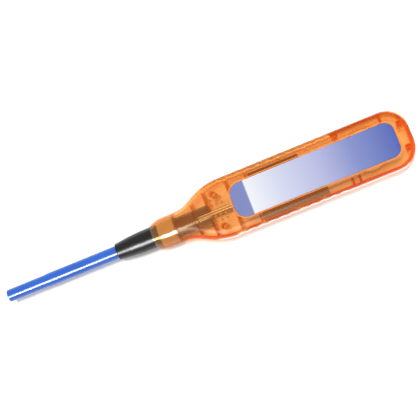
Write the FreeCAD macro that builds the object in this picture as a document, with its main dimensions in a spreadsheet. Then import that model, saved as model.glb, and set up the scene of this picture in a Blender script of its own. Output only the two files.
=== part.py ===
import FreeCAD, Part
import math
import os
import re

import Sketcher

# Fibre connector cleaning pen.
#
# Every length is in millimetres. Each piece is drawn with X running back from the
# nozzle's tip along the pen's axis and Z up out of the label face, and its Placement
# then carries it into the pen's frame: X from the middle of the pen, Z from the surface
# that the pen lies on.
#
# The nozzle pushes back into the handle against its spring. A pin in the nozzle's barrel
# turns the probe by a helical groove, and a rack on the slide frame turns the drive gear
# and the take-up spool, which draw fresh thread over the probe's tip.

SIZES = {
    # Nozzle
    "sleeve_length": 19.8,
    "sleeve_radius": 2.875,
    "ferrule_bore": 1.3,
    "ferrule_depth": 9.0,
    "sleeve_spigot": 5.0,
    "spigot_radius": 2.45,
    "tube_show": 34.9,
    "tube_radius": 3.05,
    "tube_bore": 1.95,
    "cone_nose_radius": 3.8,
    "cone_taper": 6.7,
    "cone_kink_radius": 4.6,
    "cone_swell": 5.6,
    "cone_shank": 5.9,
    "shank_radius": 5.0,
    "barrel_step": 0.4,
    "barrel_wall": 1.0,
    "web_thickness": 0.8,
    # Collar and shells
    "collar_length": 11.6,
    "collar_lip": 3.4,
    "collar_crown": 14.25,
    "collar_nose_length": 6.6,
    "collar_wall": 0.77,
    "spigot_wall": 0.7,
    "groove_gap": 0.4,
    "shell_clearance": 0.4,
    "wall": 1.65,
    "neck_length": 24.0,
    "half_thickness": 7.5,
    "edge_radius": 3.7,
    "rear_corner": 10.5,
    "rear_margin": 11.9,
    # Ribs and bosses
    "rib_thickness": 1.1,
    "rib_setback": 9.2,
    "rib_spacing": 6.8,
    "front_bay": 11.4,
    "middle_bay": 9.5,
    "passage_half_width": 6.0,
    "passage_height": 4.2,
    "boss_radius": 1.5,
    "boss_offset": 7.5,
    "boss_height": 0.6,
    "catch_size": 2.8,
    "well_radius": 9.6,
    "well_wall": 0.8,
    "well_depth": 2.5,
    "back_panel_height": 0.2,
    # Grip
    "scallop_count": 11,
    "scallop_pitch": 4.84,
    "scallop_depth": 0.3,
    "scallop_radius": 8.2,
    "dot_radius": 0.42,
    "dot_pitch": 2.1,
    "dot_height": 0.15,
    # Label
    "label_margin": 6.6,
    "label_half_width": 8.0,
    "label_front_corner": 5.4,
    "label_rear_corner": 4.3,
    "label_depth": 0.4,
    "label_thickness": 0.3,
    "label_gap": 0.25,
    # Probe
    "tip_recess": 1.0,
    "tip_radius": 1.15,
    "tip_length": 4.0,
    "tip_travel": 1.0,
    "tip_spring_length": 3.0,
    "tip_tail_radius": 0.55,
    "core_nose_radius": 1.1,
    "core_radius": 1.5,
    "core_shaft_radius": 1.0,
    "drum_radius": 3.2,
    "drum_lead": 1.2,
    "pin_radius": 0.6,
    "pin_margin": 1.6,
    "groove_depth": 1.0,
    "travel": 8.0,
    # Drive
    "bridge_thickness": 2.4,
    "bridge_bore": 1.95,
    "hump_half_width": 3.4,
    "hump_height": 3.2,
    "spring_length": 13.2,
    "spring_radius": 2.6,
    "spring_wire": 0.25,
    "anchor_thickness": 2.0,
    "gear_teeth": 16,
    "gear_module": 0.8,
    "gear_thickness": 3.0,
    "backlash": 0.3,
    "rail_width": 3.2,
    "rail_clearance": 1.15,
    "rail_slot": 0.7,
    "rail_length_short": 21.4,
    "rail_length_long": 28.7,
    "rail_top": 0.6,
    "link_half_width": 1.4,
    "link_top": 1.8,
    "link_thickness": 1.4,
    # Spools and thread
    "axle_radius": 1.2,
    "supply_axle_radius": 1.5,
    "take_flange_radius": 7.0,
    "take_winding_radius": 4.4,
    "supply_flange_radius": 8.9,
    "supply_winding_radius": 6.8,
    "hub_radius": 3.0,
    "flange_thickness": 1.0,
    "spool_gap": 12.07,
    "strand_radius": 0.2,
    "strand_offset": 0.55,
    "strand_level": 1.3,
    "post_radius": 0.6,
    "pawl_thickness": 0.6,
    # Clearances
    "running_fit": 0.08,
    "free_gap": 0.3,
}

# Share of the neck's length, and the share of its widening that is done there.
NECK_CURVE = [(0, 0), (0.17, 0.054), (0.32, 0.25), (0.47, 0.53), (0.62, 0.75), (0.78, 0.91), (1, 1)]

doc = FreeCAD.newDocument("cleaning_pen")
sheet = doc.addObject("Spreadsheet::Sheet", "Sizes")
for row, (name, size) in enumerate(SIZES.items(), start=1):
    sheet.set(f"A{row}", name)
    sheet.set(f"B{row}", str(size))
    sheet.setAlias(f"B{row}", name)
doc.recompute()

# Stations along the pen, from the nozzle's tip back.
tube_front = "sleeve_length"
cone_front = f"({tube_front} + tube_show)"
cone_kink = f"({cone_front} + cone_taper)"
shank_front = f"({cone_kink} + cone_swell)"
collar_front = f"({shank_front} + cone_shank)"
spigot_front = f"({collar_front} + collar_lip)"
collar_back = f"({collar_front} + collar_length)"
neck_front = f"({collar_back} + groove_gap)"
shoulder = f"({neck_front} + neck_length)"
rib_one = f"({neck_front} + rib_setback)"
rib_two = f"({rib_one} + rib_spacing)"
rib_three = f"({rib_two} + front_bay)"
rib_four = f"({rib_three} + middle_bay)"
barrel_back = rib_two
bridge_front = f"({rib_four} + rib_thickness / 2 + free_gap + running_fit)"
bridge_back = f"({bridge_front} + bridge_thickness)"
anchor_front = f"({bridge_back} + spring_length)"
anchor_back = f"({anchor_front} + anchor_thickness)"
take_x = f"({anchor_back} + take_flange_radius + free_gap)"
post_x = f"({anchor_back} + 3 * post_radius + running_fit)"
supply_x = f"({take_x} + take_flange_radius + spool_gap + supply_flange_radius)"
overall_length = f"({supply_x} + supply_flange_radius + rear_margin)"
label_front = rib_three
label_back = f"({overall_length} - label_margin)"

# Half widths and levels, from the pen's axis.
neck_radius = "(shank_radius + shell_clearance + wall)"
shell_spigot_radius = "(shank_radius + shell_clearance + spigot_wall)"
collar_radius = f"({shell_spigot_radius} + running_fit + collar_wall)"
barrel_radius = "(shank_radius - barrel_step)"
barrel_bore = f"({barrel_radius} - barrel_wall)"
pitch_radius = "(gear_module * gear_teeth / 2)"
gear_tip = f"({pitch_radius} + gear_module * 0.85)"
gear_root = f"({pitch_radius} - gear_module * 1.1)"
rail_inner = f"({pitch_radius} + gear_module * 1.4)"
rail_outer = f"({rail_inner} + rail_width)"
half_width = f"({rail_outer} + rail_clearance + wall)"
inside_half_width = f"({half_width} - wall)"
deck = "(half_thickness - wall)"
gear_bottom = f"(0 - {deck} + boss_height + 2 * free_gap)"
gear_top = f"({gear_bottom} + gear_thickness)"
take_bottom = f"({gear_top} + free_gap)"
spool_top = f"({deck} - boss_height - free_gap)"
supply_bottom = f"(0 - {spool_top})"
drum_front = f"({collar_back} - drum_lead)"
drum_back = f"({drum_front} + travel + 2 * pin_margin)"
pin_x = f"({drum_front} + pin_margin)"
web_front = f"({drum_front} - travel - free_gap - web_thickness)"
tube_back = f"({web_front} - running_fit)"


def bound(expression):
    """An expression in which each size is named as the document's own expressions name it."""
    return re.sub(r"[a-z_]+", lambda word: "Sizes." + word[0] if word[0] in SIZES else word[0], expression)


def number(expression):
    """The present value of an expression."""
    return float(sheet.evalExpression(str(expression)))


def set_size(target, name, expression):
    """Binds one property to the spreadsheet."""
    target.setExpression(name, bound(str(expression)))


def place(piece, x="0", y="0"):
    """Carries a piece from the tip's frame to the pen's frame."""
    set_size(piece, "Placement.Base.x", f"{x} - {overall_length} / 2")
    set_size(piece, "Placement.Base.y", y)
    set_size(piece, "Placement.Base.z", "half_thickness + back_panel_height")


def new_body(label, x="0", y="0"):
    body = doc.addObject("PartDesign::Body", label)
    body.Label = label
    place(body, x, y)
    return body


def datum(body, role):
    """One of the body's own origin planes or axes."""
    for feature in body.Origin.OriginFeatures:
        if feature.Role == role:
            return feature
    raise ValueError(role)


def hold(sketch, geometry, end, x, y):
    """Holds one point of a sketch at its distances from the origin."""
    for kind, expression in (("DistanceX", x), ("DistanceY", y)):
        index = sketch.addConstraint(Sketcher.Constraint(kind, -1, 1, geometry, end, number(expression)))
        set_size(sketch, f"Constraints[{index}]", expression)


def add_loop(sketch, points, centres):
    """A closed outline through points; an edge whose index has a centre is an arc round it."""
    corners = [FreeCAD.Vector(number(x), number(y), 0) for x, y in points]
    edges = []
    for index, start in enumerate(corners):
        end = corners[(index + 1) % len(corners)]
        if index not in centres:
            edges.append((sketch.addGeometry(Part.LineSegment(start, end)), 1, 2))
            continue
        centre = FreeCAD.Vector(number(centres[index][0]), number(centres[index][1]), 0)
        turns_left = (start - centre).cross(end - centre).z > 0
        first, last = (start, end) if turns_left else (end, start)
        angles = [math.atan2(point.y - centre.y, point.x - centre.x) for point in (first, last)]
        circle = Part.Circle(centre, FreeCAD.Vector(0, 0, 1), (start - centre).Length)
        arc = sketch.addGeometry(Part.ArcOfCircle(circle, *angles))
        edges.append((arc, 1, 2) if turns_left else (arc, 2, 1))
    for index, (geometry, start, end) in enumerate(edges):
        following, next_start, _ = edges[(index + 1) % len(edges)]
        sketch.addConstraint(Sketcher.Constraint("Coincident", geometry, end, following, next_start))
        hold(sketch, geometry, start, *points[index])
    for index, (x, y) in centres.items():
        chord = corners[(index + 1) % len(corners)] - corners[index]
        kind, expression = ("DistanceX", x) if abs(chord.y) >= abs(chord.x) else ("DistanceY", y)
        arc = edges[index][0]
        held = sketch.addConstraint(Sketcher.Constraint(kind, -1, 1, arc, 3, number(expression)))
        set_size(sketch, f"Constraints[{held}]", expression)


def add_circle(sketch, x, y, radius):
    centre = FreeCAD.Vector(number(x), number(y), 0)
    circle = sketch.addGeometry(Part.Circle(centre, FreeCAD.Vector(0, 0, 1), number(radius)))
    hold(sketch, circle, 3, x, y)
    index = sketch.addConstraint(Sketcher.Constraint("Radius", circle, number(radius)))
    set_size(sketch, f"Constraints[{index}]", radius)


def draw(body, plane, lift="0", loops=(), circles=()):
    """A sketch on one of the body's origin planes, lifted along the plane's normal."""
    sketch = body.newObject("Sketcher::SketchObject", f"{body.Label}_sketch")
    sketch.AttachmentSupport = [(datum(body, plane), "")]
    sketch.MapMode = "FlatFace"
    set_size(sketch, "AttachmentOffset.Base.z", lift)
    for points, centres in loops:
        add_loop(sketch, points, centres)
    for circle in circles:
        add_circle(sketch, *circle)
    return sketch


def rectangle(x_low, x_high, y_low, y_high):
    return [(x_low, y_low), (x_high, y_low), (x_high, y_high), (x_low, y_high)], {}


def pad(body, sketch, length, reverse=False):
    feature = body.newObject("PartDesign::Pad", f"{body.Label}_pad")
    feature.Profile = sketch
    set_size(feature, "Length", length)
    feature.Reversed = reverse
    doc.recompute()
    return feature


def pocket(body, sketch, length, along_normal=True):
    """A cut from the sketch; it has to take something away."""
    before = body.Shape.Volume
    feature = body.newObject("PartDesign::Pocket", f"{body.Label}_pocket")
    feature.Profile = sketch
    set_size(feature, "Length", length)
    feature.Reversed = along_normal
    doc.recompute()
    if body.Shape.Volume >= before:
        raise ValueError(f"{feature.Name} cuts nothing")
    return feature


def turn(body, points, centres=None, axis="X_Axis"):
    """A solid of revolution from a profile in the plane of X and Z."""
    sketch = draw(body, "XZ_Plane", loops=[(points, centres or {})])
    feature = body.newObject("PartDesign::Revolution", f"{body.Label}_turning")
    feature.Profile = sketch
    feature.ReferenceAxis = (datum(body, axis), [""])
    feature.Angle = 360
    doc.recompute()
    return feature


def fillet(body, base, radius, chosen):
    """Rounds the edges of a feature that a test chooses."""
    names = [f"Edge{index}" for index, edge in enumerate(base.Shape.Edges, start=1) if chosen(edge)]
    feature = body.newObject("PartDesign::Fillet", f"{body.Label}_fillet")
    feature.Base = (base, names)
    set_size(feature, "Radius", radius)
    doc.recompute()
    return feature


def chamfer(body, base, size, chosen):
    """Bevels the edges of a feature that a test chooses."""
    names = [f"Edge{index}" for index, edge in enumerate(base.Shape.Edges, start=1) if chosen(edge)]
    feature = body.newObject("PartDesign::Chamfer", f"{body.Label}_chamfer")
    feature.Base = (base, names)
    set_size(feature, "Size", size)
    doc.recompute()
    return feature


def row_of(body, original, axis, length, count):
    """Repeats a feature along an axis, over a length from the first copy to the last."""
    feature = body.newObject("PartDesign::LinearPattern", f"{body.Label}_row")
    feature.Originals = [original]
    feature.Direction = (datum(body, axis), [""])
    set_size(feature, "Length", length)
    set_size(feature, "Occurrences", count)
    body.Tip = feature
    doc.recompute()
    return feature


def ring_of(body, original, count):
    """Repeats a feature round the body's Z axis."""
    feature = body.newObject("PartDesign::PolarPattern", f"{body.Label}_ring")
    feature.Originals = [original]
    feature.Axis = (datum(body, "Z_Axis"), [""])
    feature.Angle = 360
    set_size(feature, "Occurrences", count)
    body.Tip = feature
    doc.recompute()
    return feature


# ---------------------------------------------------------------------------
# Shells
# ---------------------------------------------------------------------------

def half_section(side, width, height, corner, notch=None):
    """Half of a rounded section, above (side 1) or below (side -1) the parting plane.

    notch is (half width, height, round): an opening in from the parting plane.
    """
    low = f"{side} * ({height} - {corner})"
    top = f"{side} * {height}"
    points = [
        (width, "0"),
        (width, low),
        (f"{width} - {corner}", top),
        (f"0 - {width} + {corner}", top),
        (f"0 - {width}", low),
        (f"0 - {width}", "0"),
    ]
    centres = {
        1: (f"{width} - {corner}", low),
        3: (f"0 - {width} + {corner}", low),
    }
    if notch:
        half, depth, is_round = notch
        if is_round:
            points += [(f"0 - {half}", "0"), ("0", f"{side} * {half}"), (half, "0")]
            centres[6] = ("0", "0")
            centres[7] = ("0", "0")
        else:
            edge = f"{side} * {depth}"
            points += [(f"0 - {half}", "0"), (f"0 - {half}", edge), (half, edge), (half, "0")]
    return points, centres


def neck_section(side, spread, inset="0", notch=None):
    """The handle's half section where a share of the neck's widening is done."""
    width = f"({neck_radius} + ({half_width} - {neck_radius}) * {spread} - {inset})"
    height = f"({neck_radius} + (half_thickness - {neck_radius}) * {spread} - {inset})"
    round_corner = f"({neck_radius} - groove_gap)"
    corner = f"({round_corner} + (edge_radius - {round_corner}) * {spread} - {inset})"
    return half_section(side, width, height, corner, notch)


def neck_loft(body, side, kind, inset="0"):
    sections = []
    for along, spread in NECK_CURVE:
        lift = f"{neck_front} + neck_length * {along}"
        sections.append(draw(body, "YZ_Plane", lift, [neck_section(side, spread, inset)]))
    feature = body.newObject(kind, f"{body.Label}_neck")
    feature.Profile = sections[0]
    feature.Sections = sections[1:]
    feature.Ruled = kind == "PartDesign::SubtractiveLoft"
    doc.recompute()
    return feature


def plan_outline(inset="0"):
    """The straight part of the handle seen from above, from the shoulder to the rear."""
    side = f"({half_width} - {inset})"
    rear = f"({overall_length} - {inset})"
    corner = f"(rear_corner - {inset})"
    points = [
        (shoulder, f"0 - {side}"),
        (f"{rear} - {corner}", f"0 - {side}"),
        (rear, f"{corner} - {side}"),
        (rear, f"{side} - {corner}"),
        (f"{rear} - {corner}", side),
        (shoulder, side),
    ]
    centres = {
        1: (f"{rear} - {corner}", f"{corner} - {side}"),
        3: (f"{rear} - {corner}", f"{side} - {corner}"),
    }
    return points, centres


def round_rim(body, base, level, radius):
    """Rounds the rim of the straight part at a level, but not the joint with the neck."""
    height = number(level)
    front = number(shoulder)

    def on_rim(edge):
        box = edge.BoundBox
        flat = abs(box.ZMin - height) < 0.001 and abs(box.ZMax - height) < 0.001
        return flat and box.XMax > front + 0.001

    return fillet(body, base, radius, on_rim)


def half_disc(side, radius):
    points = [(f"0 - {radius}", "0"), (radius, "0"), ("0", f"{side} * {radius}")]
    return points, {1: ("0", "0"), 2: ("0", "0")}


def rib(body, side, station, spread, notch):
    """A crosswise rib that reaches into the wall all round."""
    loop = neck_section(side, spread, "(wall - free_gap)", notch)
    pad(body, draw(body, "YZ_Plane", f"{station} - rib_thickness / 2", [loop]), "rib_thickness")


def neck_spread(station):
    """The share of the neck's widening that is done at a station inside it."""
    along = (number(station) - number(neck_front)) / number("neck_length")
    for (low, low_spread), (high, high_spread) in zip(NECK_CURVE, NECK_CURVE[1:]):
        if along <= high:
            return round(low_spread + (high_spread - low_spread) * (along - low) / (high - low), 4)
    return 1


def shell_half(label, side):
    """One half of the handle, open at the parting plane."""
    body = new_body(label)
    blank = pad(body, draw(body, "XY_Plane", loops=[plan_outline()]), "half_thickness", side < 0)
    round_rim(body, blank, f"{side} * half_thickness", "edge_radius")
    neck_loft(body, side, "PartDesign::AdditiveLoft")
    spigot = draw(body, "YZ_Plane", spigot_front, [half_disc(side, shell_spigot_radius)])
    pad(body, spigot, f"{neck_front} - {spigot_front}")
    hollow = pocket(body, draw(body, "XY_Plane", loops=[plan_outline("wall")]), deck, side > 0)
    round_rim(body, hollow, f"{side} * {deck}", "edge_radius - wall")
    neck_loft(body, side, "PartDesign::SubtractiveLoft", "wall")
    bore = draw(body, "YZ_Plane", f"{spigot_front} - 1", [half_disc(side, "(shank_radius + shell_clearance)")])
    pocket(body, bore, f"{neck_front} - {spigot_front} + 1")
    ribs(body, side)
    posts(body, side)
    axle_bosses(body, side)
    scallops(body)
    return body


def scallops(body):
    """Shallow hollows along both sides, for grip."""
    middle = f"({half_width} - scallop_depth + scallop_radius)"
    first = f"{shoulder} + scallop_pitch / 2"
    circles = [(first, middle, "scallop_radius"), (first, f"0 - {middle}", "scallop_radius")]
    cut = pocket(body, draw(body, "XY_Plane", "0 - half_thickness", circles=circles), "2 * half_thickness")
    row_of(body, cut, "X_Axis", "scallop_pitch * (scallop_count - 1)", "scallop_count")


def ribs(body, side):
    barrel_way = (f"({barrel_radius} + free_gap)", None, True)
    thread_way = ("passage_half_width", "passage_height", False)
    frame_way = (f"({rail_outer} + free_gap)", f"({deck} + free_gap / 2)", False)
    rib(body, side, rib_one, neck_spread(rib_one), barrel_way)
    rib(body, side, rib_two, neck_spread(rib_two), barrel_way)
    rib(body, side, rib_three, 1, thread_way)
    rib(body, side, rib_four, 1, thread_way)
    rib(body, side, anchor_front, 1, frame_way)
    rib(body, side, f"{take_x} + hub_radius", 1, frame_way)


def posts(body, side):
    """Bosses, catches and wall stubs that stand between the parting plane and the deck."""
    boss_x = f"{rib_two} + 4.1"
    stub_x = f"{supply_x} - supply_flange_radius - 2.1"
    reach = f"({half_width} - wall + free_gap)"
    second_x = f"{stub_x} + 3 * rib_thickness"
    rear_x = f"{supply_x} + well_radius"
    catch_x = f"{overall_length} - wall - catch_size"
    loops = [
        rectangle(stub_x, f"{stub_x} + rib_thickness", f"0 - {reach}", "0 - supply_flange_radius"),
        rectangle(second_x, f"{second_x} + rib_thickness", f"0 - {reach}", "0 - supply_flange_radius"),
        rectangle(rear_x, f"{rear_x} + rib_thickness", "supply_flange_radius", reach),
        rectangle(catch_x, f"{catch_x} + catch_size", "catch_size * 1.5", "catch_size * 2.5"),
        rectangle(catch_x, f"{catch_x} + catch_size", "0 - catch_size * 2.5", "0 - catch_size * 1.5"),
    ]
    circles = [
        (boss_x, "boss_offset", "boss_radius"),
        (boss_x, "0 - boss_offset", "boss_radius"),
        (stub_x, f"{inside_half_width} - boss_radius * 0.7", "boss_radius"),
    ]
    pad(body, draw(body, "XY_Plane", loops=loops, circles=circles), f"{deck} + free_gap", side < 0)


def axle_bosses(body, side):
    """A ring round each axle's end, with the hole that holds it."""
    face = f"{side} * ({deck} - boss_height)"
    rings = [(take_x, "0", "axle_radius * 2"), (supply_x, "0", "supply_axle_radius * 2")]
    pad(body, draw(body, "XY_Plane", face, circles=rings), "boss_height + free_gap", side < 0)
    holes = [(take_x, "0", "axle_radius + running_fit / 2"), (supply_x, "0", "supply_axle_radius + running_fit / 2")]
    pocket(body, draw(body, "XY_Plane", face, circles=holes), "boss_height + 2 * free_gap", side > 0)


def label_outline(inset):
    """The label's outline: wide round corners in front, tighter ones behind."""
    side = f"(label_half_width - {inset})"
    front = f"({label_front} + {inset})"
    back = f"({label_back} - {inset})"
    front_corner = f"(label_front_corner - {inset})"
    rear_corner = f"(label_rear_corner - {inset})"
    points = [
        (f"{front} + {front_corner}", f"0 - {side}"),
        (f"{back} - {rear_corner}", f"0 - {side}"),
        (back, f"{rear_corner} - {side}"),
        (back, f"{side} - {rear_corner}"),
        (f"{back} - {rear_corner}", side),
        (f"{front} + {front_corner}", side),
        (front, f"{side} - {front_corner}"),
        (front, f"{front_corner} - {side}"),
    ]
    centres = {
        1: (f"{back} - {rear_corner}", f"{rear_corner} - {side}"),
        3: (f"{back} - {rear_corner}", f"{side} - {rear_corner}"),
        5: (f"{front} + {front_corner}", f"{side} - {front_corner}"),
        7: (f"{front} + {front_corner}", f"{front_corner} - {side}"),
    }
    return points, centres


def make_top_shell():
    body = shell_half("top_shell", 1)
    recess = draw(body, "XY_Plane", "half_thickness", [label_outline("(0 - label_gap)")])
    pocket(body, recess, "label_depth", False)
    dots = []
    for column in range(3):
        for line in (-1.8, -0.9, 0.9, 1.8):
            dots.append((f"{rib_two} + dot_pitch * {column + 1.3}", f"dot_pitch * {line}", "dot_radius"))
    root = "wall / 2"
    pad(body, draw(body, "XY_Plane", f"half_thickness - {root}", circles=dots), f"{root} + dot_height")
    well = [(supply_x, "0", "well_radius"), (supply_x, "0", "well_radius + well_wall")]
    pad(body, draw(body, "XY_Plane", f"{deck} - well_depth", circles=well), "well_depth + free_gap / 2")
    post_y = "supply_winding_radius - post_radius - 2 * running_fit"
    post = draw(body, "XY_Plane", "strand_level - 2 * free_gap", circles=[(post_x, post_y, "post_radius")])
    pad(body, post, f"{deck} - strand_level + 2 * free_gap + free_gap / 2")


def make_bottom_shell():
    """The back half, with the raised flat panel that the pen lies on."""
    body = shell_half("bottom_shell", -1)
    panel = rectangle(label_front, label_back, "0 - label_half_width", "label_half_width")
    sketch = draw(body, "XY_Plane", "0 - half_thickness - back_panel_height", loops=[panel])
    pad(body, sketch, "back_panel_height + wall / 2")


def make_label():
    body = new_body("label")
    pad(body, draw(body, "XY_Plane", "half_thickness - label_depth", [label_outline("0")]), "label_thickness")


def make_nose_collar():
    body = new_body("nose_collar")
    crown = f"({collar_front} + collar_nose_length)"
    lip = f"({collar_radius} - (collar_crown - sqrt(collar_crown ^ 2 - collar_nose_length ^ 2)))"
    bore = "(shank_radius + running_fit)"
    seat = f"({shell_spigot_radius} + running_fit)"
    points = [
        (collar_front, bore),
        (f"{spigot_front} - running_fit", bore),
        (f"{spigot_front} - running_fit", seat),
        (collar_back, seat),
        (collar_back, collar_radius),
        (crown, collar_radius),
        (collar_front, lip),
    ]
    turn(body, points, {5: (crown, f"{collar_radius} - collar_crown")})


# ---------------------------------------------------------------------------
# Nozzle
# ---------------------------------------------------------------------------

def make_tip_sleeve():
    """The front sleeve: a socket that a ferrule enters, and a spigot for the guide tube."""
    body = new_body("tip_sleeve")
    spigot_back = f"({tube_front} + sleeve_spigot)"
    points = [
        ("0", "ferrule_bore"),
        ("ferrule_depth", "ferrule_bore"),
        ("ferrule_depth", "tube_bore"),
        (spigot_back, "tube_bore"),
        (spigot_back, "spigot_radius"),
        (tube_front, "spigot_radius"),
        (tube_front, "sleeve_radius"),
        ("0", "sleeve_radius"),
    ]
    sleeve = turn(body, points)
    lip = number("sleeve_radius")

    def at_mouth(edge):
        box = edge.BoundBox
        return box.XMax < 0.001 and abs(box.YMax - lip) < 0.01

    chamfer(body, sleeve, "free_gap", at_mouth)


def make_guide_tube():
    """The rear tube, pushed into the nose cone, with a socket for the sleeve's spigot."""
    body = new_body("guide_tube")
    socket_back = f"({tube_front} + sleeve_spigot + running_fit)"
    points = [
        (tube_front, "spigot_radius + running_fit / 2"),
        (socket_back, "spigot_radius + running_fit / 2"),
        (socket_back, "tube_bore"),
        (tube_back, "tube_bore"),
        (tube_back, "tube_radius"),
        (tube_front, "tube_radius"),
    ]
    turn(body, points)


def make_nose_cone():
    """The black cone and the barrel behind it, which slides in the collar."""
    body = new_body("nose_cone")
    socket = "(tube_radius + running_fit / 2)"
    points = [
        (cone_front, socket),
        (web_front, socket),
        (web_front, "core_radius"),
        (f"{web_front} + web_thickness", "core_radius"),
        (f"{web_front} + web_thickness", barrel_bore),
        (barrel_back, barrel_bore),
        (barrel_back, barrel_radius),
        (collar_back, barrel_radius),
        (collar_back, "shank_radius"),
        (shank_front, "shank_radius"),
        (cone_kink, "cone_kink_radius"),
        (cone_front, "cone_nose_radius"),
    ]
    cone = turn(body, points)
    front = number(cone_front)
    rim = number("cone_nose_radius")

    def at_front(edge):
        box = edge.BoundBox
        return box.XMax < front + 0.001 and abs(box.YMax - rim) < 0.01

    chamfer(body, cone, "free_gap", at_front)
    slot_front = f"{drum_back} + free_gap"
    slot = rectangle(slot_front, f"{barrel_back} + 1", "0 - strand_offset * 2.2", "strand_offset * 2.2")
    pocket(body, draw(body, "XY_Plane", loops=[slot]), "shank_radius")
    hole = draw(body, "XY_Plane", circles=[(pin_x, "0", "pin_radius")])
    pocket(body, hole, "shank_radius", False)


def make_cam_pin():
    """The pin through the barrel's wall that runs in the drum's groove."""
    body = new_body("cam_pin")
    inner = "(drum_radius - groove_depth + running_fit)"
    sketch = draw(body, "XY_Plane", f"0 - {inner}", circles=[(pin_x, "0", "pin_radius")])
    pad(body, sketch, f"{barrel_radius} - running_fit - {inner}", True)


def make_drive_link():
    """The bar that joins the barrel to the slide frame, under the probe."""
    body = new_body("drive_link")
    front = f"{barrel_back} - travel / 2"
    bar = rectangle(front, bridge_front, "0 - link_half_width", "link_half_width")
    pad(body, draw(body, "XY_Plane", "0 - link_top", loops=[bar]), "link_thickness", True)


def make_slide_frame():
    """A fork: a bridge in front, and a slotted rail along each side, one of them a rack."""
    body = new_body("slide_frame")
    bridge = rectangle(bridge_front, bridge_back, f"0 - {rail_outer}", rail_outer)
    depth = f"rail_top - {gear_bottom}"
    pad(body, draw(body, "XY_Plane", gear_bottom, loops=[bridge]), depth)
    hump = rectangle("0 - hump_half_width", "hump_half_width", "0", "hump_height")
    pad(body, draw(body, "YZ_Plane", bridge_front, loops=[hump]), "bridge_thickness")
    upper = rectangle(bridge_back, f"{bridge_front} + rail_length_short + 2.4", rail_inner, rail_outer)
    lower = rectangle(bridge_back, f"{bridge_front} + rail_length_long + 2.4", f"0 - {rail_outer}", f"0 - {rail_inner}")
    pad(body, draw(body, "XY_Plane", gear_bottom, loops=[upper, lower]), depth)
    middle = f"({rail_inner} + rail_width / 2)"
    slots = []
    for sign, length in (("", "rail_length_short"), ("0 - ", "rail_length_long")):
        low = f"{sign}({middle} - rail_slot / 2)"
        high = f"{sign}({middle} + rail_slot / 2)"
        slots.append(rectangle(f"{bridge_back} + 1", f"{bridge_front} + {length} + 0.8", low, high))
    pocket(body, draw(body, "XY_Plane", "rail_top", loops=slots), "rail_width / 2", False)
    bore = draw(body, "YZ_Plane", f"{bridge_front} - 1", circles=[("0", "0", "bridge_bore")])
    pocket(body, bore, "bridge_thickness + 2")
    rack(body)


def tooth(half_pitch_width):
    """Half widths of a straight-sided tooth at its tip and at its root."""
    slope = math.tan(math.radians(20))
    tip = f"({half_pitch_width} - gear_module * 0.85 * {slope:.4f})"
    root = f"({half_pitch_width} + gear_module * 1.1 * {slope:.4f})"
    return tip, root


def rack(body):
    """Teeth along the inside of the longer rail; a gap faces the gear's axle at rest."""
    pitch = "(gear_module * pi)"
    tip, root = tooth(f"({pitch} / 4 - backlash / 2)")
    tips = f"0 - ({pitch_radius} - gear_module * 0.85)"
    roots = f"0 - ({pitch_radius} + gear_module * 1.1)"
    back = f"0 - ({rail_inner} + 0.1)"
    first = f"({take_x} + {pitch} * 1.5)"
    points = [
        (f"{first} - {root}", back),
        (f"{first} + {root}", back),
        (f"{first} + {root}", roots),
        (f"{first} + {tip}", tips),
        (f"{first} - {tip}", tips),
        (f"{first} - {root}", roots),
    ]
    one = pad(body, draw(body, "XY_Plane", gear_bottom, loops=[(points, {})]), "gear_thickness")
    feature = row_of(body, one, "X_Axis", f"{pitch} * 6", "7")
    feature.Reversed = True
    doc.recompute()


# ---------------------------------------------------------------------------
# Probe
# ---------------------------------------------------------------------------

tip_back = "(tip_recess + tip_length)"
core_front = f"({tip_back} + tip_spring_length)"


def make_probe_tip():
    """The head that presses the thread on the ferrule, with a tail in the core's bore."""
    body = new_body("probe_tip")
    tail_back = f"{core_front} + tip_spring_length"
    points = [
        ("tip_recess", "0"),
        (tail_back, "0"),
        (tail_back, "tip_tail_radius"),
        (tip_back, "tip_tail_radius"),
        (tip_back, "tip_radius"),
        ("tip_recess + free_gap", "tip_radius"),
        ("tip_recess", "tip_radius - free_gap"),
    ]
    turn(body, points)


def make_tip_thread():
    """The loop of thread that lies across the head's face."""
    body = new_body("tip_thread")
    reach = "(tip_radius - free_gap)"
    band = rectangle("tip_recess - strand_radius", "tip_recess", f"0 - {reach}", reach)
    sketch = draw(body, "XY_Plane", "0 - strand_radius", loops=[band])
    pad(body, sketch, "2 * strand_radius")


def make_tip_spring():
    """The spring between the head and the core, drawn as the tube its coils fill."""
    body = new_body("tip_spring")
    points = [
        (tip_back, "tip_tail_radius + running_fit"),
        (core_front, "tip_tail_radius + running_fit"),
        (core_front, "core_nose_radius - running_fit"),
        (tip_back, "core_nose_radius - running_fit"),
    ]
    turn(body, points)


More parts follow.
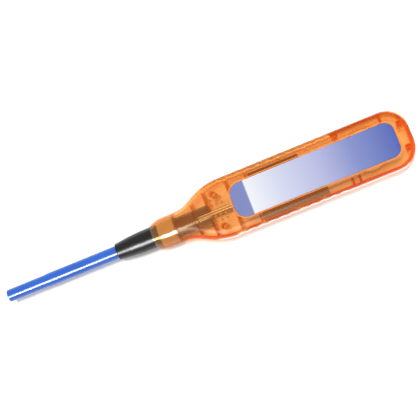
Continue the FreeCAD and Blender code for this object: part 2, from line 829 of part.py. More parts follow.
def make_probe_core():
    """The shaft down the nozzle: a bored nose, a cam drum and a tail held in the anchor."""
    body = new_body("probe_core")
    nose_back = "(ferrule_depth + travel + 2 * free_gap)"
    neck_back = f"({tube_back} - free_gap)"
    tail_back = f"({anchor_back} - free_gap)"
    bore_back = f"({core_front} + tip_spring_length + tip_travel + free_gap)"
    thrust = f"({anchor_front} - free_gap)"
    points = [
        (bore_back, "0"),
        (tail_back, "0"),
        (tail_back, "core_shaft_radius"),
        (thrust, "core_shaft_radius"),
        (thrust, "core_shaft_radius + free_gap / 2"),
        (f"{thrust} - web_thickness", "core_shaft_radius + free_gap / 2"),
        (f"{thrust} - web_thickness", "core_shaft_radius"),
        (drum_back, "core_shaft_radius"),
        (drum_back, "drum_radius"),
        (drum_front, "drum_radius"),
        (drum_front, "core_shaft_radius"),
        (neck_back, "core_shaft_radius"),
        (neck_back, "core_radius"),
        (nose_back, "core_radius"),
        (nose_back, "core_nose_radius"),
        (core_front, "core_nose_radius"),
        (core_front, "tip_tail_radius + running_fit"),
        (bore_back, "tip_tail_radius + running_fit"),
    ]
    turn(body, points)
    cam_groove(body)


def cam_groove(body):
    """Half a turn of groove over the nozzle's travel, with a round pocket at each end."""
    inner = "(drum_radius - groove_depth)"
    slope = f"(travel / (pi * {inner}))"
    half = f"(pin_radius * sqrt(1 + {slope} ^ 2) + running_fit)"
    profile = rectangle(f"{pin_x} - {half}", f"{pin_x} + {half}", "0 - drum_radius - 1", f"0 - {inner}")
    sketch = draw(body, "XZ_Plane", loops=[profile])
    groove = body.newObject("PartDesign::SubtractiveHelix", "cam_groove")
    groove.Profile = sketch
    groove.ReferenceAxis = (datum(body, "X_Axis"), [""])
    groove.Mode = 0
    set_size(groove, "Pitch", "travel * 2")
    set_size(groove, "Height", "travel")
    groove.LeftHanded = True
    doc.recompute()
    end_radius = "(pin_radius + 2 * running_fit)"
    start = draw(body, "XY_Plane", f"0 - {inner}", circles=[(pin_x, "0", end_radius)])
    pocket(body, start, "groove_depth + 1", False)
    finish = draw(body, "XY_Plane", inner, circles=[(f"{pin_x} + travel", "0", end_radius)])
    pocket(body, finish, "groove_depth + 1")


def make_core_anchor():
    """The block on the bottom shell that holds the core's tail and seats the spring."""
    body = new_body("core_anchor")
    side = "(hump_half_width + free_gap)"
    foot = f"0 - {deck}"
    block = rectangle(f"0 - {side}", side, foot, "hump_height")
    pad(body, draw(body, "YZ_Plane", anchor_front, loops=[block]), "anchor_thickness")
    cut = "anchor_thickness + 2"
    before = f"{anchor_front} - 1"
    bore = draw(body, "YZ_Plane", before, circles=[("0", "0", "core_shaft_radius + running_fit")])
    pocket(body, bore, cut)
    way = "(strand_offset + 2 * strand_radius)"
    slot = rectangle(f"0 - {way}", way, "0", "strand_level + 2 * strand_radius")
    pocket(body, draw(body, "YZ_Plane", before, loops=[slot]), cut)


def make_return_spring():
    """The coil spring that pushes the nozzle out again, drawn as the tube its coils fill."""
    body = new_body("return_spring")
    points = [
        (bridge_back, "spring_radius - spring_wire"),
        (anchor_front, "spring_radius - spring_wire"),
        (anchor_front, "spring_radius + spring_wire"),
        (bridge_back, "spring_radius + spring_wire"),
    ]
    turn(body, points)


# ---------------------------------------------------------------------------
# Drive, spools and thread
# ---------------------------------------------------------------------------

def make_drive_gear():
    """The gear on the take-up axle; one tooth points into the rack's gap at rest."""
    body = new_body("drive_gear", take_x)
    bore = "axle_radius + running_fit"
    ring = [("0", "0", gear_root), ("0", "0", bore)]
    pad(body, draw(body, "XY_Plane", gear_bottom, circles=ring), "gear_thickness")
    tip, root = tooth("(gear_module * pi / 4 - backlash / 2)")
    points = [
        (f"0 - {root}", f"0 - {gear_root} + free_gap"),
        (root, f"0 - {gear_root} + free_gap"),
        (root, f"0 - {gear_root}"),
        (tip, f"0 - {gear_tip}"),
        (f"0 - {tip}", f"0 - {gear_tip}"),
        (f"0 - {root}", f"0 - {gear_root}"),
    ]
    one = pad(body, draw(body, "XY_Plane", gear_bottom, loops=[(points, {})]), "gear_thickness")
    ring_of(body, one, "gear_teeth")


def spool(label, x, bottom, flange_radius, bore):
    """A spool turned about its axle: hub and two flanges."""
    body = new_body(label, x)
    points = [
        (bore, bottom),
        (flange_radius, bottom),
        (flange_radius, f"{bottom} + flange_thickness"),
        ("hub_radius", f"{bottom} + flange_thickness"),
        ("hub_radius", f"{spool_top} - flange_thickness"),
        (flange_radius, f"{spool_top} - flange_thickness"),
        (flange_radius, spool_top),
        (bore, spool_top),
    ]
    turn(body, points, axis="Z_Axis")
    return body


def winding(label, x, bottom, radius):
    """The thread wound on a spool."""
    body = new_body(label, x)
    low = f"{bottom} + flange_thickness + running_fit"
    high = f"{spool_top} - flange_thickness - running_fit"
    points = [
        ("hub_radius + running_fit", low),
        (radius, low),
        (radius, high),
        ("hub_radius + running_fit", high),
    ]
    turn(body, points, axis="Z_Axis")


def make_take_up_spool():
    """The spool that gathers used thread, with ratchet notches round its lower flange."""
    body = spool("take_up_spool", take_x, take_bottom, "take_flange_radius", "axle_radius + running_fit")
    notch = [
        ("take_flange_radius - 2 * free_gap", "0"),
        ("take_flange_radius + 1", "0"),
        ("take_flange_radius + 1", "2 * free_gap * 3"),
    ]
    one = pocket(body, draw(body, "XY_Plane", take_bottom, loops=[(notch, {})]), "flange_thickness")
    ring_of(body, one, "gear_teeth")


def make_supply_spool():
    spool("supply_spool", supply_x, supply_bottom, "supply_flange_radius", "supply_axle_radius + running_fit")


def make_windings():
    winding("take_up_winding", take_x, take_bottom, "take_winding_radius")
    winding("supply_winding", supply_x, supply_bottom, "supply_winding_radius")


def axle(label, x, radius):
    body = new_body(label, x)
    reach = f"({deck} + free_gap)"
    pad(body, draw(body, "XY_Plane", f"0 - {reach}", circles=[("0", "0", radius)]), f"2 * {reach}")


def make_axles():
    axle("take_up_axle", take_x, "axle_radius")
    axle("supply_axle", supply_x, "supply_axle_radius")


def make_drag_washer():
    """The washer that keeps the supply spool from running on."""
    body = new_body("drag_washer", supply_x)
    rings = [("0", "0", "hub_radius * 2"), ("0", "0", "supply_axle_radius * 2 + free_gap")]
    pad(body, draw(body, "XY_Plane", f"0 - {deck}", circles=rings), "boss_height")


def make_ratchet_pawl():
    """A springy finger whose point stands just clear of the take-up spool's notches."""
    body = new_body("ratchet_pawl")
    point_x = f"({take_x} + take_flange_radius + running_fit)"
    foot_x = f"({point_x} + rail_width)"
    finger = [
        (point_x, "0"),
        (f"{foot_x}", "0 - rail_width"),
        (f"{foot_x} + pawl_thickness", "0 - rail_width"),
        (f"{point_x} + pawl_thickness", "0"),
    ]
    pad(body, draw(body, "XY_Plane", take_bottom, loops=[(finger, {})]), "flange_thickness")
    foot = rectangle(foot_x, f"{foot_x} + 3 * pawl_thickness", "0 - rail_width - 1", "1 - rail_width")
    height = f"{take_bottom} + flange_thickness + {deck}"
    pad(body, draw(body, "XY_Plane", f"0 - {deck}", loops=[foot]), height)


def strand(label, points, bend):
    """A length of thread: straight runs joined by tangent arcs."""
    corners = [FreeCAD.Vector(number(x), number(y), number("strand_level")) for x, y in points]
    edges = []
    start = corners[0]
    for before, corner, after in zip(corners, corners[1:], corners[2:]):
        arriving = (corner - before).normalize()
        leaving = (after - corner).normalize()
        turn_angle = arriving.getAngle(leaving)
        setback = bend * math.tan(turn_angle / 2)
        first = corner - arriving * setback
        last = corner + leaving * setback
        inward = (leaving - arriving).normalize()
        middle = corner + inward * (bend / math.cos(turn_angle / 2) - bend)
        edges.append(Part.LineSegment(start, first).toShape())
        edges.append(Part.Arc(first, middle, last).toShape())
        start = last
    edges.append(Part.LineSegment(start, corners[-1]).toShape())
    direction = corners[1] - corners[0]
    ring = Part.Wire(Part.Circle(corners[0], direction, number("strand_radius")).toShape())
    thread = doc.addObject("Part::Feature", label)
    thread.Label = label
    thread.Shape = Part.Wire(edges).makePipeShell([ring], True, True)
    place(thread)


def make_strands():
    """Fresh thread comes forward from the supply spool, and used thread goes back."""
    start = f"{drum_back} + free_gap"
    clear = f"{anchor_back} + post_radius + strand_radius"
    outside = "supply_winding_radius + strand_radius"
    bend = number("post_radius + strand_radius + 2 * running_fit")
    over_post = f"{post_x} - {bend}"
    fresh = [(start, "strand_offset"), (clear, "strand_offset"), (over_post, outside), (supply_x, outside)]
    strand("supply_strand", fresh, bend)
    wound = number("take_winding_radius + strand_radius")
    away = FreeCAD.Vector(number(clear) - number(take_x), number("0 - strand_offset"), 0)
    angle = math.atan2(away.y, away.x) + math.acos(wound / away.Length)
    end = (number(take_x) + wound * math.cos(angle), wound * math.sin(angle))
    used = [(start, "0 - strand_offset"), (clear, "0 - strand_offset"), end]
    strand("return_strand", used, bend)


BUILDERS = [
    make_top_shell,
    make_bottom_shell,
    make_nose_collar,
    make_label,
    make_tip_sleeve,
    make_guide_tube,
    make_nose_cone,
    make_cam_pin,
    make_drive_link,
    make_slide_frame,
    make_probe_tip,
    make_tip_thread,
    make_tip_spring,
    make_probe_core,
    make_core_anchor,
    make_return_spring,
    make_drive_gear,
    make_take_up_spool,
    make_supply_spool,
    make_windings,
    make_axles,
    make_drag_washer,
    make_ratchet_pawl,
    make_strands,
]


def check():
    """Stops before anything is written if a feature failed or a piece isn't a sound solid."""
    for item in doc.Objects:
        if "Invalid" in item.State or "Error" in item.State:
            raise RuntimeError(f"{item.Name}: {item.getStatusString()}")
    for piece in pieces():
        if piece.Shape.isNull() or not piece.Shape.isValid() or not piece.Shape.Solids:
            raise RuntimeError(f"{piece.Label} isn't a sound solid")


def pieces():
    return [item for item in doc.Objects if item.TypeId in ("PartDesign::Body", "Part::Feature")]


for build in BUILDERS:
    build()
doc.recompute()
check()

os.makedirs("parts", exist_ok=True)
for piece in pieces():
    piece.Shape.exportStep(f"parts/{piece.Label}.step")
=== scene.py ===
import math

import bpy
from mathutils import Matrix, Vector


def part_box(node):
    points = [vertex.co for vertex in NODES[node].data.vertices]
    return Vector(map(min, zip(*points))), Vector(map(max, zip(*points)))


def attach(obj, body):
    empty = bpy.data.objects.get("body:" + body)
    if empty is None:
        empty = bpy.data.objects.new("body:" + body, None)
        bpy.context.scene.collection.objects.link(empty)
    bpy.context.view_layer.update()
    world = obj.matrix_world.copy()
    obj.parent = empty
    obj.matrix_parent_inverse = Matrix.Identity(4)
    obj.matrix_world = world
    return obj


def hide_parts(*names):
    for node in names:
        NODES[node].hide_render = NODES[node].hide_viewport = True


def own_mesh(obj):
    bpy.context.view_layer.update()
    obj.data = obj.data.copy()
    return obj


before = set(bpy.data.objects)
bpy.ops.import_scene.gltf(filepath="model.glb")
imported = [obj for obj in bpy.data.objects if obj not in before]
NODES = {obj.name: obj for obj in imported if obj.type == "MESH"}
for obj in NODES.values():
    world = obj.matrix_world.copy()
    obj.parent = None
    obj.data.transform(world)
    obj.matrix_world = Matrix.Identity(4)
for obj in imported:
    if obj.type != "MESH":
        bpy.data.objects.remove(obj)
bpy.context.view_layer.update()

# Fibre connector cleaning pen: a clear orange moulded handle over its thread drive, a
# printed label, a black nose cone and a long blue nozzle.

MM = 0.001
PEN_AXIS = 7.7  # mm above the floor, the line that the nozzle, the springs and the core share
FACE = 15.2  # mm above the floor, the top shell's flat face


# ---------------------------------------------------------------------------
# Materials
# ---------------------------------------------------------------------------

WAVE = math.pi / 10  # a wave texture of this scale repeats once in each unit
FLOW_MM = 14  # how far the melt runs between a duller and a glossier stretch
PLASTIC_GRAIN_MM = 0.5  # real mould grain is finer, and is drawn this coarse so that it shows
HAZE_GRAIN_MM = 2.5  # the soft unevenness of a polished clear face
PAPER_FIBRE_MM = 0.25  # coarser than real fibres, so that they show
INK_GRAIN = 0.05  # how far the fibres lighten and darken the ink
LINE_SHADE = 0.12  # how far tool lines darken the steel


def linear(hex_colour):
    """An sRGB hex colour as linear red, green, blue and alpha."""
    values = [int(hex_colour[i:i + 2], 16) / 255 for i in (1, 3, 5)]
    return tuple(v / 12.92 if v <= 0.04045 else ((v + 0.055) / 1.055) ** 2.4 for v in values) + (1.0,)


def add_node(material, kind, settings=None, links=None):
    """Adds a node. A setting is an input socket or a property, and a link is a source socket."""
    node = material.node_tree.nodes.new(kind)
    for name, value in (settings or {}).items():
        if isinstance(name, str) and hasattr(node, name):
            setattr(node, name, value)
    for name, value in (settings or {}).items():
        if not isinstance(name, str) or not hasattr(node, name):
            node.inputs[name].default_value = value
    for name, source in (links or {}).items():
        material.node_tree.links.new(source, node.inputs[name])
    return node


def new_material(name, shader_settings):
    """A new material with one principled shader, linked to its output, and object coordinates."""
    material = bpy.data.materials.new(name)
    material.use_nodes = True
    material.node_tree.nodes.clear()
    shader = add_node(material, "ShaderNodeBsdfPrincipled", shader_settings)
    add_node(material, "ShaderNodeOutputMaterial", links={"Surface": shader.outputs["BSDF"]})
    place = add_node(material, "ShaderNodeTexCoord").outputs["Object"]
    return material, shader, place


def link(material, source, node, socket):
    """Joins a source socket to a node that is there already."""
    material.node_tree.links.new(source, node.inputs[socket])


def moulded_skin(material, shader, place, grain_mm, bump_mm, rough_low, rough_high):
    """The skin of a moulded part: grain in the bump, and slow changes in the gloss, which it gives back."""
    grain = add_node(
        material, "ShaderNodeTexNoise",
        {"Scale": 1 / (grain_mm * MM), "Detail": 3.0, "Roughness": 0.6}, {"Vector": place},
    )
    flow = add_node(
        material, "ShaderNodeTexNoise",
        {"Scale": 1 / (FLOW_MM * MM), "Detail": 2.0}, {"Vector": place},
    )
    gloss = add_node(
        material, "ShaderNodeMapRange",
        {"From Min": 0.35, "From Max": 0.65, "To Min": rough_low, "To Max": rough_high},
        {"Value": flow.outputs["Fac"]},
    )
    bump = add_node(
        material, "ShaderNodeBump",
        {"Strength": 1.0, "Distance": bump_mm * MM}, {"Height": grain.outputs["Fac"]},
    )
    link(material, gloss.outputs["Result"], shader, "Roughness")
    link(material, bump.outputs["Normal"], shader, "Normal")
    return flow


def moulded_plastic(name, dark, light, rough_low, rough_high, bump_mm=0.004, ior=1.5):
    """An opaque moulded plastic whose colour drifts a little along the flow of the melt."""
    material, shader, place = new_material(name, {"IOR": ior})
    flow = moulded_skin(material, shader, place, PLASTIC_GRAIN_MM, bump_mm, rough_low, rough_high)
    drift = add_node(
        material, "ShaderNodeMix",
        {"data_type": "RGBA", 6: linear(dark), 7: linear(light)}, {0: flow.outputs["Fac"]},
    )
    link(material, drift.outputs[2], shader, "Base Color")
    return material


DEPTH_TINT = "#FFD727"  # the colour that depth turns the plastic to
RED_LOSS = 0.003  # it takes this little of the red, which is less than one step of a hex value
RIM_TINT = "#F9BC70"
RIM_POWER = 4.0  # higher keeps the rim's red closer to the edge
GLANCE_POWER = 5.0  # the usual rise of a mirrored share towards a glance
FLAT_GLANCE, SIDE_GLANCE = 0.4, 1.6  # how strongly flat faces and side walls mirror at a glance
SIDE_START, SIDE_END = 11.8, 12.4  # mm from the pen's middle, where a flat face turns into a side wall
CLEAR_CLOUD = 0.05  # the haze outside a stretch of painted glow
GLOW_EDGE = 0.1  # mm, half the width of the soft ends of a stretch of painted glow


def clear_orange(name, tint, cloud, mirror, polish_roughness, density, glow_stretch=None):
    """Clear tinted ABS, moulded and polished: light goes through it, and it reddens where it is deep.

    The cloud is the haze's share of the surface, and the mirror is the share mirrored head on. Where
    a glow stretch is given, in mm along the pen, only that stretch has the cloud, and its haze is a painted
    glow.
    """
    material, haze, place = new_material(
        name, {"Base Color": linear(tint), "IOR": 1.5, "Specular IOR Level": 0.2},
    )
    moulded_skin(material, haze, place, HAZE_GRAIN_MM, bump_mm=0.006, rough_low=0.30, rough_high=0.40)
    facing = add_node(material, "ShaderNodeLayerWeight", {"Blend": 0.5})
    edge = add_node(
        material, "ShaderNodeMath", {"operation": "POWER", 1: RIM_POWER}, {0: facing.outputs["Facing"]}
    )
    # a wall seen along its own plane is looked at through more plastic, so it is redder
    rim = add_node(
        material, "ShaderNodeMix",
        {"data_type": "RGBA", 6: linear("#FFFFFF"), 7: linear(RIM_TINT)}, {0: edge.outputs["Value"]},
    )
    through = add_node(material, "ShaderNodeBsdfTransparent", links={"Color": rim.outputs[2]})
    body = add_node(
        material, "ShaderNodeMixShader", {0: cloud},
        {1: through.outputs["BSDF"], 2: haze.outputs["BSDF"]},
    )
    across = add_node(material, "ShaderNodeSeparateXYZ", links={"Vector": place})
    # the stretch's extra haze is a painted glow, lit brighter than the clear plastic round it
    if glow_stretch:
        start, end = glow_stretch
        middle = (start + end) / 2
        reach = (end - start) / 2
        off = add_node(
            material, "ShaderNodeMath", {"operation": "SUBTRACT", 1: middle * MM}, {0: across.outputs["X"]}
        )
        away = add_node(material, "ShaderNodeMath", {"operation": "ABSOLUTE"}, {0: off.outputs["Value"]})
        painted_glow = add_node(
            material, "ShaderNodeMapRange",
            {
                "From Min": (reach - GLOW_EDGE) * MM, "From Max": (reach + GLOW_EDGE) * MM,
                "To Min": cloud, "To Max": CLEAR_CLOUD,
            },
            {"Value": away.outputs["Value"]},
        )
        link(material, painted_glow.outputs["Result"], body, 0)
    # a polished face, outer or inner, mirrors a few per cent of the light head on and more at a glance
    polish = add_node(material, "ShaderNodeBsdfAnisotropic", {"Roughness": polish_roughness})
    glance = add_node(
        material, "ShaderNodeMath", {"operation": "POWER", 1: GLANCE_POWER}, {0: facing.outputs["Facing"]}
    )
    # the side walls are glossier than the flat faces, so that light runs along their scallops
    side = add_node(material, "ShaderNodeMath", {"operation": "ABSOLUTE"}, {0: across.outputs["Y"]})
    gloss = add_node(
        material, "ShaderNodeMapRange",
        {
            "From Min": SIDE_START * MM, "From Max": SIDE_END * MM,
            "To Min": FLAT_GLANCE, "To Max": SIDE_GLANCE,
        },
        {"Value": side.outputs["Value"]},
    )
    share = add_node(
        material, "ShaderNodeMath", {"operation": "MULTIPLY_ADD", "use_clamp": True, 2: mirror},
        {0: glance.outputs["Value"], 1: gloss.outputs["Result"]},
    )
    surface = add_node(
        material, "ShaderNodeMixShader",
        links={0: share.outputs["Value"], 1: body.outputs["Shader"], 2: polish.outputs["BSDF"]},
    )
    red, green, blue, alpha = linear(DEPTH_TINT)
    depth = add_node(
        material, "ShaderNodeVolumeAbsorption",
        {"Color": (red - RED_LOSS, green, blue, alpha), "Density": density},
    )
    output = material.node_tree.get_output_node("ALL")
    link(material, surface.outputs["Shader"], output, "Surface")
    link(material, depth.outputs["Volume"], output, "Volume")
    return material


LABEL_FADE = (
    (0.0, "#646D9E"), (0.096, "#666FA0"), (0.100, "#CBCCD2"), (0.30, "#B0B4C9"),
    (0.52, "#9A9DBD"), (0.74, "#6C77AA"), (1.0, "#3B4F9A"),
)  # a share of the label's length and its ink there


def printed_label():
    """Glossy laminated paper: a blue field in front, and white that fades to blue behind."""
    material, shader, place = new_material(
        "laminated printed paper", {"IOR": 1.5, "Coat Weight": 0.35, "Coat Roughness": 0.12}
    )
    low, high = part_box("label")
    along = add_node(material, "ShaderNodeSeparateXYZ", links={"Vector": place})
    share = add_node(
        material, "ShaderNodeMapRange",
        {"From Min": low.x, "From Max": high.x, "To Min": 0.0, "To Max": 1.0},
        {"Value": along.outputs["X"]},
    )
    fade = add_node(material, "ShaderNodeValToRGB", links={"Fac": share.outputs["Result"]})
    ramp = fade.color_ramp
    while len(ramp.elements) < len(LABEL_FADE):
        ramp.elements.new(0.5)
    for element, (at, tint) in zip(ramp.elements, LABEL_FADE):
        element.position = at
        element.color = linear(tint)
    fibre = add_node(
        material, "ShaderNodeTexNoise",
        {"Scale": 1 / (PAPER_FIBRE_MM * MM), "Detail": 4.0}, {"Vector": place},
    )
    ink = add_node(
        material, "ShaderNodeMix",
        {"data_type": "RGBA", "blend_type": "MULTIPLY", 0: INK_GRAIN},
        {6: fade.outputs["Color"], 7: fibre.outputs["Color"]},
    )
    bump = add_node(
        material, "ShaderNodeBump",
        {"Strength": 1.0, "Distance": 0.003 * MM}, {"Height": fibre.outputs["Fac"]},
    )
    rough = add_node(
        material, "ShaderNodeMapRange",
        {"From Min": 0.3, "From Max": 0.7, "To Min": 0.30, "To Max": 0.40},
        {"Value": fibre.outputs["Fac"]},
    )
    link(material, ink.outputs[2], shader, "Base Color")
    link(material, rough.outputs["Result"], shader, "Roughness")
    link(material, bump.outputs["Normal"], shader, "Normal")
    return material


def bright_steel(name, tint, rough_low, rough_high, line_mm):
    """Bright drawn or ground steel, with tool lines round it, drawn wider than real ones to show."""
    material, shader, place = new_material(name, {"Metallic": 1.0})
    lines = add_node(
        material, "ShaderNodeTexWave",
        {"bands_direction": "X", "Scale": WAVE / (line_mm * MM), "Distortion": 2.0, "Detail": 2.0},
        {"Vector": place},
    )
    rough = add_node(
        material, "ShaderNodeMapRange",
        {"To Min": rough_low, "To Max": rough_high}, {"Value": lines.outputs["Fac"]},
    )
    shade = add_node(
        material, "ShaderNodeMix",
        {"data_type": "RGBA", "blend_type": "MULTIPLY", 0: LINE_SHADE, 6: linear(tint)},
        {7: lines.outputs["Color"]},
    )
    link(material, shade.outputs[2], shader, "Base Color")
    link(material, rough.outputs["Result"], shader, "Roughness")
    return material


def cleaning_thread(name, direction, pitch_mm):
    """Lint-free thread: darker beads along its twist, or darker bands along a winding's turns, painted as
    the shade in the grooves between them.

    Its twist and its turns are drawn coarser than real ones, so that they show.
    """
    material, shader, place = new_material(
        name, {"IOR": 1.5, "Roughness": 0.75, "Sheen Weight": 0.3}
    )
    twist = add_node(
        material, "ShaderNodeTexWave",
        {"bands_direction": direction, "Scale": WAVE / (pitch_mm * MM), "Distortion": 0.5, "Detail": 1.0},
        {"Vector": place},
    )
    # painted shade: the darker cream stands for shade in the twist's grooves and between the turns
    shade = add_node(
        material, "ShaderNodeMix",
        {"data_type": "RGBA", 6: linear("#D8C680"), 7: linear("#FFF8CF")}, {0: twist.outputs["Fac"]},
    )
    bump = add_node(
        material, "ShaderNodeBump",
        {"Strength": 1.0, "Distance": 0.08 * MM}, {"Height": twist.outputs["Fac"]},
    )
    link(material, shade.outputs[2], shader, "Base Color")
    link(material, bump.outputs["Normal"], shader, "Normal")
    return material


# clear from a polished tool: bright and see-through, and redder where a wall is seen edge on
ORANGE = clear_orange(
    "clear orange ABS, moulded", "#FF8C1A",
    cloud=0.085, mirror=0.015, polish_roughness=0.34, density=280.0,
)
# painted glow: a deeper gold, hazier behind its first few millimetres, stands in for the broad reflection
# round the sharp streak that a lamp makes on it
COLLAR_PAINTED_GLOW = clear_orange(
    "clear orange ABS, polished collar", "#F0A232",
    cloud=0.26, mirror=0.06, polish_roughness=0.10, density=620.0, glow_stretch=(-21.9, -14.4),
)
# a rough-tooled finish: each dot is a little darker than the clear face round it
DOTS = clear_orange(
    "clear orange ABS, textured dots", "#C4701F",
    cloud=0.45, mirror=0.02, polish_roughness=0.30, density=300.0,
)
# painted highlight: a thin, hazier ring that shows brighter than the face, standing in for light caught on
# the recess's edge
EDGE_HIGHLIGHT = clear_orange(
    "clear orange ABS, painted edge highlight", "#FF8E1C",
    cloud=0.85, mirror=0.03, polish_roughness=0.20, density=260.0,
)
LABEL = printed_label()
# polished tools: the tube and the cone carry one clear streak of light
BLUE = moulded_plastic("blue ABS, moulded", "#1350AC", "#1C5AB8", 0.18, 0.24, bump_mm=0.0006, ior=1.6)
BLACK = moulded_plastic("black acetal, moulded", "#030304", "#070708", 0.22, 0.28, bump_mm=0.0006)
# satin mechanism parts, toned to read through the orange walls
DARK = moulded_plastic("dark grey acetal, moulded", "#120C09", "#1C1410", 0.35, 0.5)
NATURAL = moulded_plastic("unpigmented nylon, moulded", "#857657", "#938364", 0.35, 0.5)
WHITE = moulded_plastic("white acetal, moulded", "#E9E6DF", "#F5F3EE", 0.3, 0.45)
SPRING = bright_steel("spring steel wire", "#B9BCC0", 0.18, 0.32, line_mm=0.4)
STEEL = bright_steel("ground steel pin", "#C9CBCE", 0.12, 0.24, line_mm=0.3)
# soft and matt, with the twist or the turns just seen
THREAD = cleaning_thread("microfibre thread, twisted", "DIAGONAL", pitch_mm=0.9)
WOUND = cleaning_thread("microfibre thread, wound", "Z", pitch_mm=0.4)

FINISHES = {
    "top_shell": ORANGE, "bottom_shell": ORANGE, "nose_collar": COLLAR_PAINTED_GLOW, "label": LABEL,
    "tip_sleeve": BLUE, "guide_tube": BLUE, "nose_cone": BLACK, "slide_frame": DARK,
    "drive_link": NATURAL, "probe_core": NATURAL, "core_anchor": NATURAL, "ratchet_pawl": NATURAL,
    "probe_tip": WHITE, "drive_gear": WHITE, "take_up_spool": WHITE, "supply_spool": WHITE,
    "tip_thread": THREAD, "take_up_winding": WOUND, "supply_winding": WOUND,
    "supply_strand": THREAD, "return_strand": THREAD,
    "tip_spring": SPRING, "return_spring": SPRING, "drag_washer": SPRING,
    "cam_pin": STEEL, "take_up_axle": STEEL, "supply_axle": STEEL,
}


def give_finish(piece, material):
    """Gives a piece one material in place of what it has."""
    piece.data.materials.clear()
    piece.data.materials.append(material)


for name, material in FINISHES.items():
    give_finish(NODES[name], material)


# ---------------------------------------------------------------------------
# Coil springs, wound from wire in place of the solids' plain sleeves
# ---------------------------------------------------------------------------

WIRE_SIDES = 12
STEPS_PER_TURN = 28


def coil_spring(name, start, end, coil_radius, wire_radius, turns):
    """A round wire wound about the pen's axis, with its ends and radii in mm."""
    bpy.ops.object.select_all(action="DESELECT")
    bpy.ops.mesh.primitive_circle_add(
        vertices=WIRE_SIDES, radius=wire_radius * MM, location=(0, 0, 0), rotation=(math.pi / 2, 0, 0)
    )
    piece = bpy.context.object
    piece.name = name
    bpy.ops.object.transform_apply(location=True, rotation=True, scale=True)
    bpy.ops.object.mode_set(mode="EDIT")
    bpy.ops.mesh.select_all(action="SELECT")
    bpy.ops.transform.translate(value=((start + wire_radius) * MM, 0, coil_radius * MM))
    bpy.ops.object.mode_set(mode="OBJECT")
    winding = piece.modifiers.new("winding", "SCREW")
    winding.axis = "X"
    winding.screw_offset = (end - start - 2 * wire_radius) / turns * MM
    winding.iterations = turns
    winding.steps = STEPS_PER_TURN
    winding.render_steps = STEPS_PER_TURN
    bpy.ops.object.modifier_apply(modifier=winding.name)
    bpy.ops.object.mode_set(mode="EDIT")
    bpy.ops.mesh.select_all(action="DESELECT")
    # the wire's two open ends are closed
    bpy.ops.mesh.select_mode(type="EDGE")
    bpy.ops.mesh.select_non_manifold()
    bpy.ops.mesh.fill()
    bpy.ops.mesh.select_all(action="SELECT")
    bpy.ops.mesh.normals_make_consistent(inside=False)
    bpy.ops.transform.translate(value=(0, 0, PEN_AXIS * MM))
    bpy.ops.object.mode_set(mode="OBJECT")
    bpy.ops.object.shade_smooth()
    give_finish(piece, SPRING)
    return piece


RETURN_COIL = coil_spring(
    "return_coil", start=26.93, end=40.13, coil_radius=2.6, wire_radius=0.25, turns=9
)
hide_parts("return_spring")
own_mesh(RETURN_COIL)
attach(RETURN_COIL, "handle")

TIP_COIL = coil_spring(
    "tip_coil", start=-93.2, end=-90.2, coil_radius=0.88, wire_radius=0.12, turns=5
)
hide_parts("tip_spring")
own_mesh(TIP_COIL)
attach(TIP_COIL, "probe")


# --------------------------------------------------------------------------- Raised details of the top shell's face, and a painted highlight round the label
# Raised details of the top shell's face
# ---------------------------------------------------------------------------

DOT_RADIUS = 0.6
DOT_RISE = 0.23  # a dome's height as a share of its radius
DOT_START = (5.1, -4.85)  # the first dome's middle, along and across the pen
DOT_GAPS = (2.4, 4.9, 2.4)  # across the pen, with the widest gap over the threads
DOT_PITCH = 2.4  # along the pen
DOT_COLUMNS = 3


def grip_dots():
    """Columns of low domes just behind the neck, two domes to each side of the threads."""
    bpy.ops.object.select_all(action="DESELECT")
    bpy.ops.mesh.primitive_uv_sphere_add(segments=20, ring_count=12, radius=DOT_RADIUS * MM)
    piece = bpy.context.object
    piece.name = "grip_dots"
    along, across = DOT_START
    bpy.ops.object.mode_set(mode="EDIT")
    bpy.ops.mesh.select_all(action="SELECT")
    bpy.ops.transform.resize(value=(1, 1, DOT_RISE))
    bpy.ops.transform.translate(value=(along * MM, across * MM, FACE * MM))
    for gap in DOT_GAPS:
        bpy.ops.mesh.duplicate_move(TRANSFORM_OT_translate={"value": (0, gap * MM, 0)})
    bpy.ops.mesh.select_all(action="SELECT")
    for column in range(1, DOT_COLUMNS):
        bpy.ops.mesh.duplicate_move(TRANSFORM_OT_translate={"value": (DOT_PITCH * MM, 0, 0)})
    bpy.ops.object.mode_set(mode="OBJECT")
    bpy.ops.object.shade_smooth()
    return piece


EDGE_HIGHLIGHT_START, EDGE_HIGHLIGHT_END = 13.5, 92.2  # along the pen
EDGE_HIGHLIGHT_HALF_WIDTH = 8.6
EDGE_HIGHLIGHT_THICKNESS, EDGE_HIGHLIGHT_HEIGHT = 0.35, 0.08
EDGE_HIGHLIGHT_LIFT = 0.02  # above the face
EDGE_HIGHLIGHT_CORNERS = ((EDGE_HIGHLIGHT_START, 6.0), (EDGE_HIGHLIGHT_END, 4.9))  # the corner radius at each end


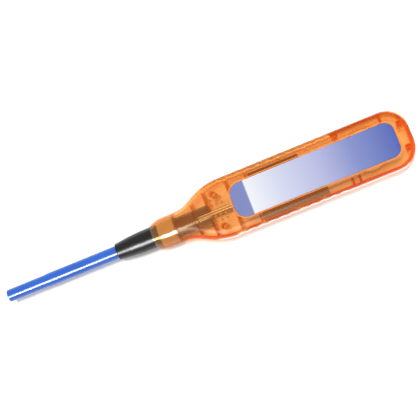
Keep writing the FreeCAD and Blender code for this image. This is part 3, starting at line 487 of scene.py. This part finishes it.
def label_edge_highlight():
    """A painted highlight: a thin bright ring round the label's recess, standing in for light caught on its
    edge.
    """
    bpy.ops.object.select_all(action="DESELECT")
    bpy.ops.mesh.primitive_plane_add(size=1.0)
    piece = bpy.context.object
    piece.name = "label_edge_highlight"
    bpy.ops.object.mode_set(mode="EDIT")
    bpy.ops.mesh.select_all(action="SELECT")
    bpy.ops.transform.resize(value=((EDGE_HIGHLIGHT_END - EDGE_HIGHLIGHT_START) * MM, 2 * EDGE_HIGHLIGHT_HALF_WIDTH * MM, 1))
    bpy.ops.transform.translate(value=((EDGE_HIGHLIGHT_END + EDGE_HIGHLIGHT_START) / 2 * MM, 0, (FACE + EDGE_HIGHLIGHT_LIFT) * MM))
    # each end of the plane has its two corners rounded
    for end, corner in EDGE_HIGHLIGHT_CORNERS:
        bpy.ops.mesh.select_mode(type="VERT")
        bpy.ops.mesh.select_all(action="DESELECT")
        bpy.ops.object.mode_set(mode="OBJECT")
        for vertex in piece.data.vertices:
            vertex.select = abs(vertex.co.x - end * MM) < 0.01 * MM
        bpy.ops.object.mode_set(mode="EDIT")
        bpy.ops.mesh.bevel(offset=corner * MM, segments=12, affect="VERTICES")
    bpy.ops.mesh.select_mode(type="FACE")
    bpy.ops.mesh.select_all(action="SELECT")
    # the face inside the lip goes, and the flat ring that is left gets its height
    bpy.ops.mesh.inset(thickness=EDGE_HIGHLIGHT_THICKNESS * MM, depth=0)
    bpy.ops.mesh.delete(type="FACE")
    bpy.ops.mesh.select_all(action="SELECT")
    bpy.ops.mesh.extrude_region_move(TRANSFORM_OT_translate={"value": (0, 0, EDGE_HIGHLIGHT_HEIGHT * MM)})
    bpy.ops.mesh.select_all(action="SELECT")
    bpy.ops.mesh.normals_make_consistent(inside=False)
    bpy.ops.object.mode_set(mode="OBJECT")
    return piece


# the domes are the face's own texture, and the ring is a painted highlight
for piece, finish in ((grip_dots(), DOTS), (label_edge_highlight(), EDGE_HIGHLIGHT)):
    give_finish(piece, finish)
    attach(piece, "handle")


# ---------------------------------------------------------------------------
# Floor, light and camera
# ---------------------------------------------------------------------------

FLOOR_SIZE = 6.0
FLOOR_TONE_MM = 250


def make_floor():
    """A plain sweep of white paper under the pen."""
    bpy.ops.object.select_all(action="DESELECT")
    bpy.ops.mesh.primitive_plane_add(size=FLOOR_SIZE, location=(0, 0, 0))
    floor = bpy.context.object
    floor.name = "floor"
    material, shader, place = new_material("white paper sweep", {"Roughness": 0.9})
    tone = add_node(
        material, "ShaderNodeTexNoise", {"Scale": 1 / (FLOOR_TONE_MM * MM), "Detail": 1.0},
        {"Vector": place},
    )
    shade = add_node(
        material, "ShaderNodeMix",
        {"data_type": "RGBA", 6: linear("#F6F6F6"), 7: linear("#F9F9F9")}, {0: tone.outputs["Fac"]},
    )
    link(material, shade.outputs[2], shader, "Base Color")
    floor.data.materials.append(material)


def aim_lamp(name, lamp, place, aim, mirrored):
    """Hangs a lamp that either only lights, or is only seen mirrored in glossy faces."""
    holder = bpy.data.objects.new(name, lamp)
    bpy.context.scene.collection.objects.link(holder)
    holder.location = place
    holder.rotation_mode = "QUATERNION"
    holder.rotation_quaternion = (Vector(aim) - Vector(place)).to_track_quat("-Z", "Y")
    holder.visible_diffuse = not mirrored
    holder.visible_glossy = mirrored


def make_key(place, strength, spread):
    """The main light, broad enough to leave a soft shadow close to the pen."""
    lamp = bpy.data.lights.new("key", "SUN")
    lamp.energy = strength
    lamp.angle = spread
    aim_lamp("key", lamp, place, (0, 0, 0), False)


def make_streak(name, place, aim, width, height, power):
    """A panel whose mirror image is a streak along the pen."""
    lamp = bpy.data.lights.new(name, "AREA")
    lamp.shape = "RECTANGLE"
    lamp.size = width
    lamp.size_y = height
    lamp.energy = power
    aim_lamp(name, lamp, place, aim, True)


def make_world(strength):
    """Even white light from all round."""
    world = bpy.data.worlds.new("studio")
    bpy.context.scene.world = world
    world.use_nodes = True
    background = world.node_tree.nodes["Background"]
    background.inputs["Color"].default_value = linear("#FFFFFF")
    background.inputs["Strength"].default_value = strength


AIM = Vector((2.6, 2.5, PEN_AXIS)) * MM
DISTANCE = 517.5 * MM
TILT_BACK = math.radians(6.5)
TILT_SIDE = math.radians(6.5)
ROLL = math.radians(22.1)
SENSOR_MM = 36.0
LENS_MM = 99.0431


def make_camera():
    """Looks down on the label, from a little behind the pen's middle and to one side."""
    back = Vector((math.tan(TILT_BACK), -math.tan(TILT_SIDE), 1.0)).normalized()
    along = (Vector((1, 0, 0)) - back * back.x).normalized()
    across = back.cross(along)
    right = along * math.cos(ROLL) - across * math.sin(ROLL)
    up = along * math.sin(ROLL) + across * math.cos(ROLL)
    camera = bpy.data.objects.new("camera", bpy.data.cameras.new("camera"))
    bpy.context.scene.collection.objects.link(camera)
    camera.data.sensor_width = SENSOR_MM
    camera.data.lens = LENS_MM
    camera.data.clip_start = 0.01
    camera.data.clip_end = 20.0
    turn = Matrix((right, up, back)).transposed().to_4x4()
    camera.matrix_world = Matrix.Translation(AIM + back * DISTANCE) @ turn
    bpy.context.scene.camera = camera


make_floor()
make_world(strength=0.64)
make_key(place=(0.0, 0.11, 1.0), strength=2.85, spread=math.radians(14))
make_streak(
    "nozzle streak", place=(-0.32, -0.52, 0.92), aim=(-0.06, 0, 0), width=0.50, height=0.46, power=18.0
)
make_streak(
    "side streak", place=(0.14, -1.0, 0.12), aim=(0.06, 0, 0.008), width=0.44, height=0.24, power=1.0
)
make_camera()
bpy.context.scene.view_settings.view_transform = "Standard"
# light crosses many clear walls before it reaches the mechanism
bpy.context.scene.cycles.max_bounces = 24
bpy.context.scene.cycles.transmission_bounces = 20
